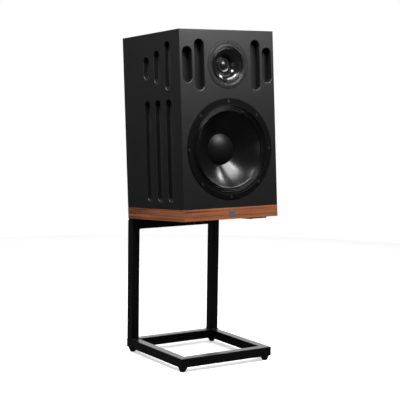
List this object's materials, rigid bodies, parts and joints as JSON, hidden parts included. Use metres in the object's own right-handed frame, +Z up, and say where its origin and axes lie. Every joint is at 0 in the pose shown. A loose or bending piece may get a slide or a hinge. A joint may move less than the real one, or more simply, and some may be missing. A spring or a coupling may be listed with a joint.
{
  "type": "bookshelf speaker",
  "caption": "Leaning black loudspeaker with vent slots, a large woofer and a small coaxial unit above, on a walnut plinth and an open square-tube floor stand.",
  "frame": {"origin": "middle of the footprint on the floor", "axes": "+Z up, the drivers face -Y, +X to the right seen from the front"},
  "size_m": [0.3, 0.3352, 0.9044],
  "materials": {
    "cabinet_paint": "satin black paint on board",
    "inner_board": "bare board",
    "walnut": "oiled walnut",
    "acoustic_cloth": "black acoustic cloth",
    "badge_metal": "blue-grey anodised",
    "foam": "foam gasket",
    "basket": "textured black paint",
    "surround": "doped black cloth",
    "cone": "satin-gloss black",
    "coil_copper": "enamelled copper",
    "spider": "varnished cloth",
    "motor_steel": "plated steel",
    "ferrite": "dark ferrite",
    "black_screws": "black oxide",
    "flange_plastic": "fine-textured black",
    "tweeter_ring": "satin black",
    "dome_cloth": "coated cloth",
    "board": "circuit board",
    "capacitor": "film capacitor",
    "terminal_plastic": "moulded black",
    "post_brass": "gold-plated brass",
    "cap_red_plastic": "red",
    "cap_black_plastic": "black",
    "stand_paint": "satin black powder coat",
    "arm_bolt_steel": "dark zinc plate",
    "foot_rubber": "hard black rubber"
  },
  "bodies": {
    "cabinet": {"front_baffle": "cabinet_paint", "side_panel_left": "cabinet_paint", "side_panel_right": "cabinet_paint", "rear_panel": "cabinet_paint", "top_panel": "cabinet_paint", "bottom_panel": "inner_board", "shelf_brace": "inner_board", "walnut_plinth": "walnut", "side_cloth_left": "acoustic_cloth", "side_cloth_right": "acoustic_cloth", "front_cloth": "acoustic_cloth", "badge": "badge_metal", "woofer_gasket": "foam", "woofer_basket": "basket", "woofer_surround": "surround", "mid_surround": "surround", "crossover_inductors": "coil_copper", "woofer_spider": "spider", "woofer_front_plate": "motor_steel", "woofer_yoke": "motor_steel", "mid_yoke": "motor_steel", "tweeter_motor": "motor_steel", "woofer_magnet": "ferrite", "mid_magnet": "ferrite", "woofer_bolts": "black_screws", "mid_screws": "black_screws", "terminal_screws": "black_screws", "mid_flange": "flange_plastic", "mid_chamber": "flange_plastic", "tweeter_faceplate": "tweeter_ring", "crossover_board": "board", "crossover_capacitors": "capacitor", "terminal_cup": "terminal_plastic", "post_red": "post_brass", "post_black": "post_brass", "base_tube_front": "stand_paint", "base_tube_rear": "stand_paint", "base_tube_left": "stand_paint", "base_tube_right": "stand_paint", "upright_left": "stand_paint", "upright_right": "stand_paint", "crossbar": "stand_paint", "arm_left": "stand_paint", "arm_right": "stand_paint", "arm_seats": "stand_paint", "arm_bolts": "arm_bolt_steel", "foot_front_left": "foot_rubber", "foot_front_right": "foot_rubber", "foot_rear_left": "foot_rubber", "foot_rear_right": "foot_rubber"},
    "woofer_moving": {"woofer_cone": "cone", "woofer_dust_cap": "cone", "woofer_voice_coil": "coil_copper"},
    "mid_moving": {"mid_cone": "cone", "mid_voice_coil": "coil_copper"},
    "tweeter_moving": {"tweeter_dome": "dome_cloth"},
    "red_washer_body": {"washer_red": "post_brass"},
    "red_cap_body": {"cap_red": "cap_red_plastic"},
    "black_washer_body": {"washer_black": "post_brass"},
    "black_cap_body": {"cap_black": "cap_black_plastic"}
  },
  "joints": [
    {"name": "woofer_travel", "type": "slide", "parent": "cabinet", "child": "woofer_moving", "axis": [0, -0.9968, 0.0793], "range_m": [-0.006, 0.006], "stiffness_N_per_m": 2000, "deforming": ["woofer_surround", "woofer_spider"]},
    {"name": "mid_travel", "type": "slide", "parent": "cabinet", "child": "mid_moving", "axis": [0, -0.9968, 0.0793], "range_m": [-0.0015, 0.0015], "stiffness_N_per_m": 2000, "deforming": ["mid_surround"]},
    {"name": "tweeter_travel", "type": "slide", "parent": "cabinet", "child": "tweeter_moving", "axis": [0, -0.9968, 0.0793], "range_m": [-0.0003, 0.0003], "stiffness_N_per_m": 2000},
    {"name": "red_post_turn", "type": "hinge", "parent": "cabinet", "child": "red_washer_body", "pos_m": [-0.019, 0.11692, 0.51217], "axis": [0, 0.9968, -0.0793], "range_deg": [0, 1440]},
    {"name": "red_cap_travel", "type": "slide", "parent": "red_washer_body", "child": "red_cap_body", "axis": [0, 0.9968, -0.0793], "range_m": [0, 0.004]},
    {"name": "black_post_turn", "type": "hinge", "parent": "cabinet", "child": "black_washer_body", "pos_m": [0.019, 0.11692, 0.51217], "axis": [0, 0.9968, -0.0793], "range_deg": [0, 1440]},
    {"name": "black_cap_travel", "type": "slide", "parent": "black_washer_body", "child": "black_cap_body", "axis": [0, 0.9968, -0.0793], "range_m": [0, 0.004]}
  ],
  "couplings": [
    {"joint": "red_post_turn", "follows": "red_cap_travel", "rad_per_m": 6283.2},
    {"joint": "black_post_turn", "follows": "black_cap_travel", "rad_per_m": 6283.2}
  ]
}
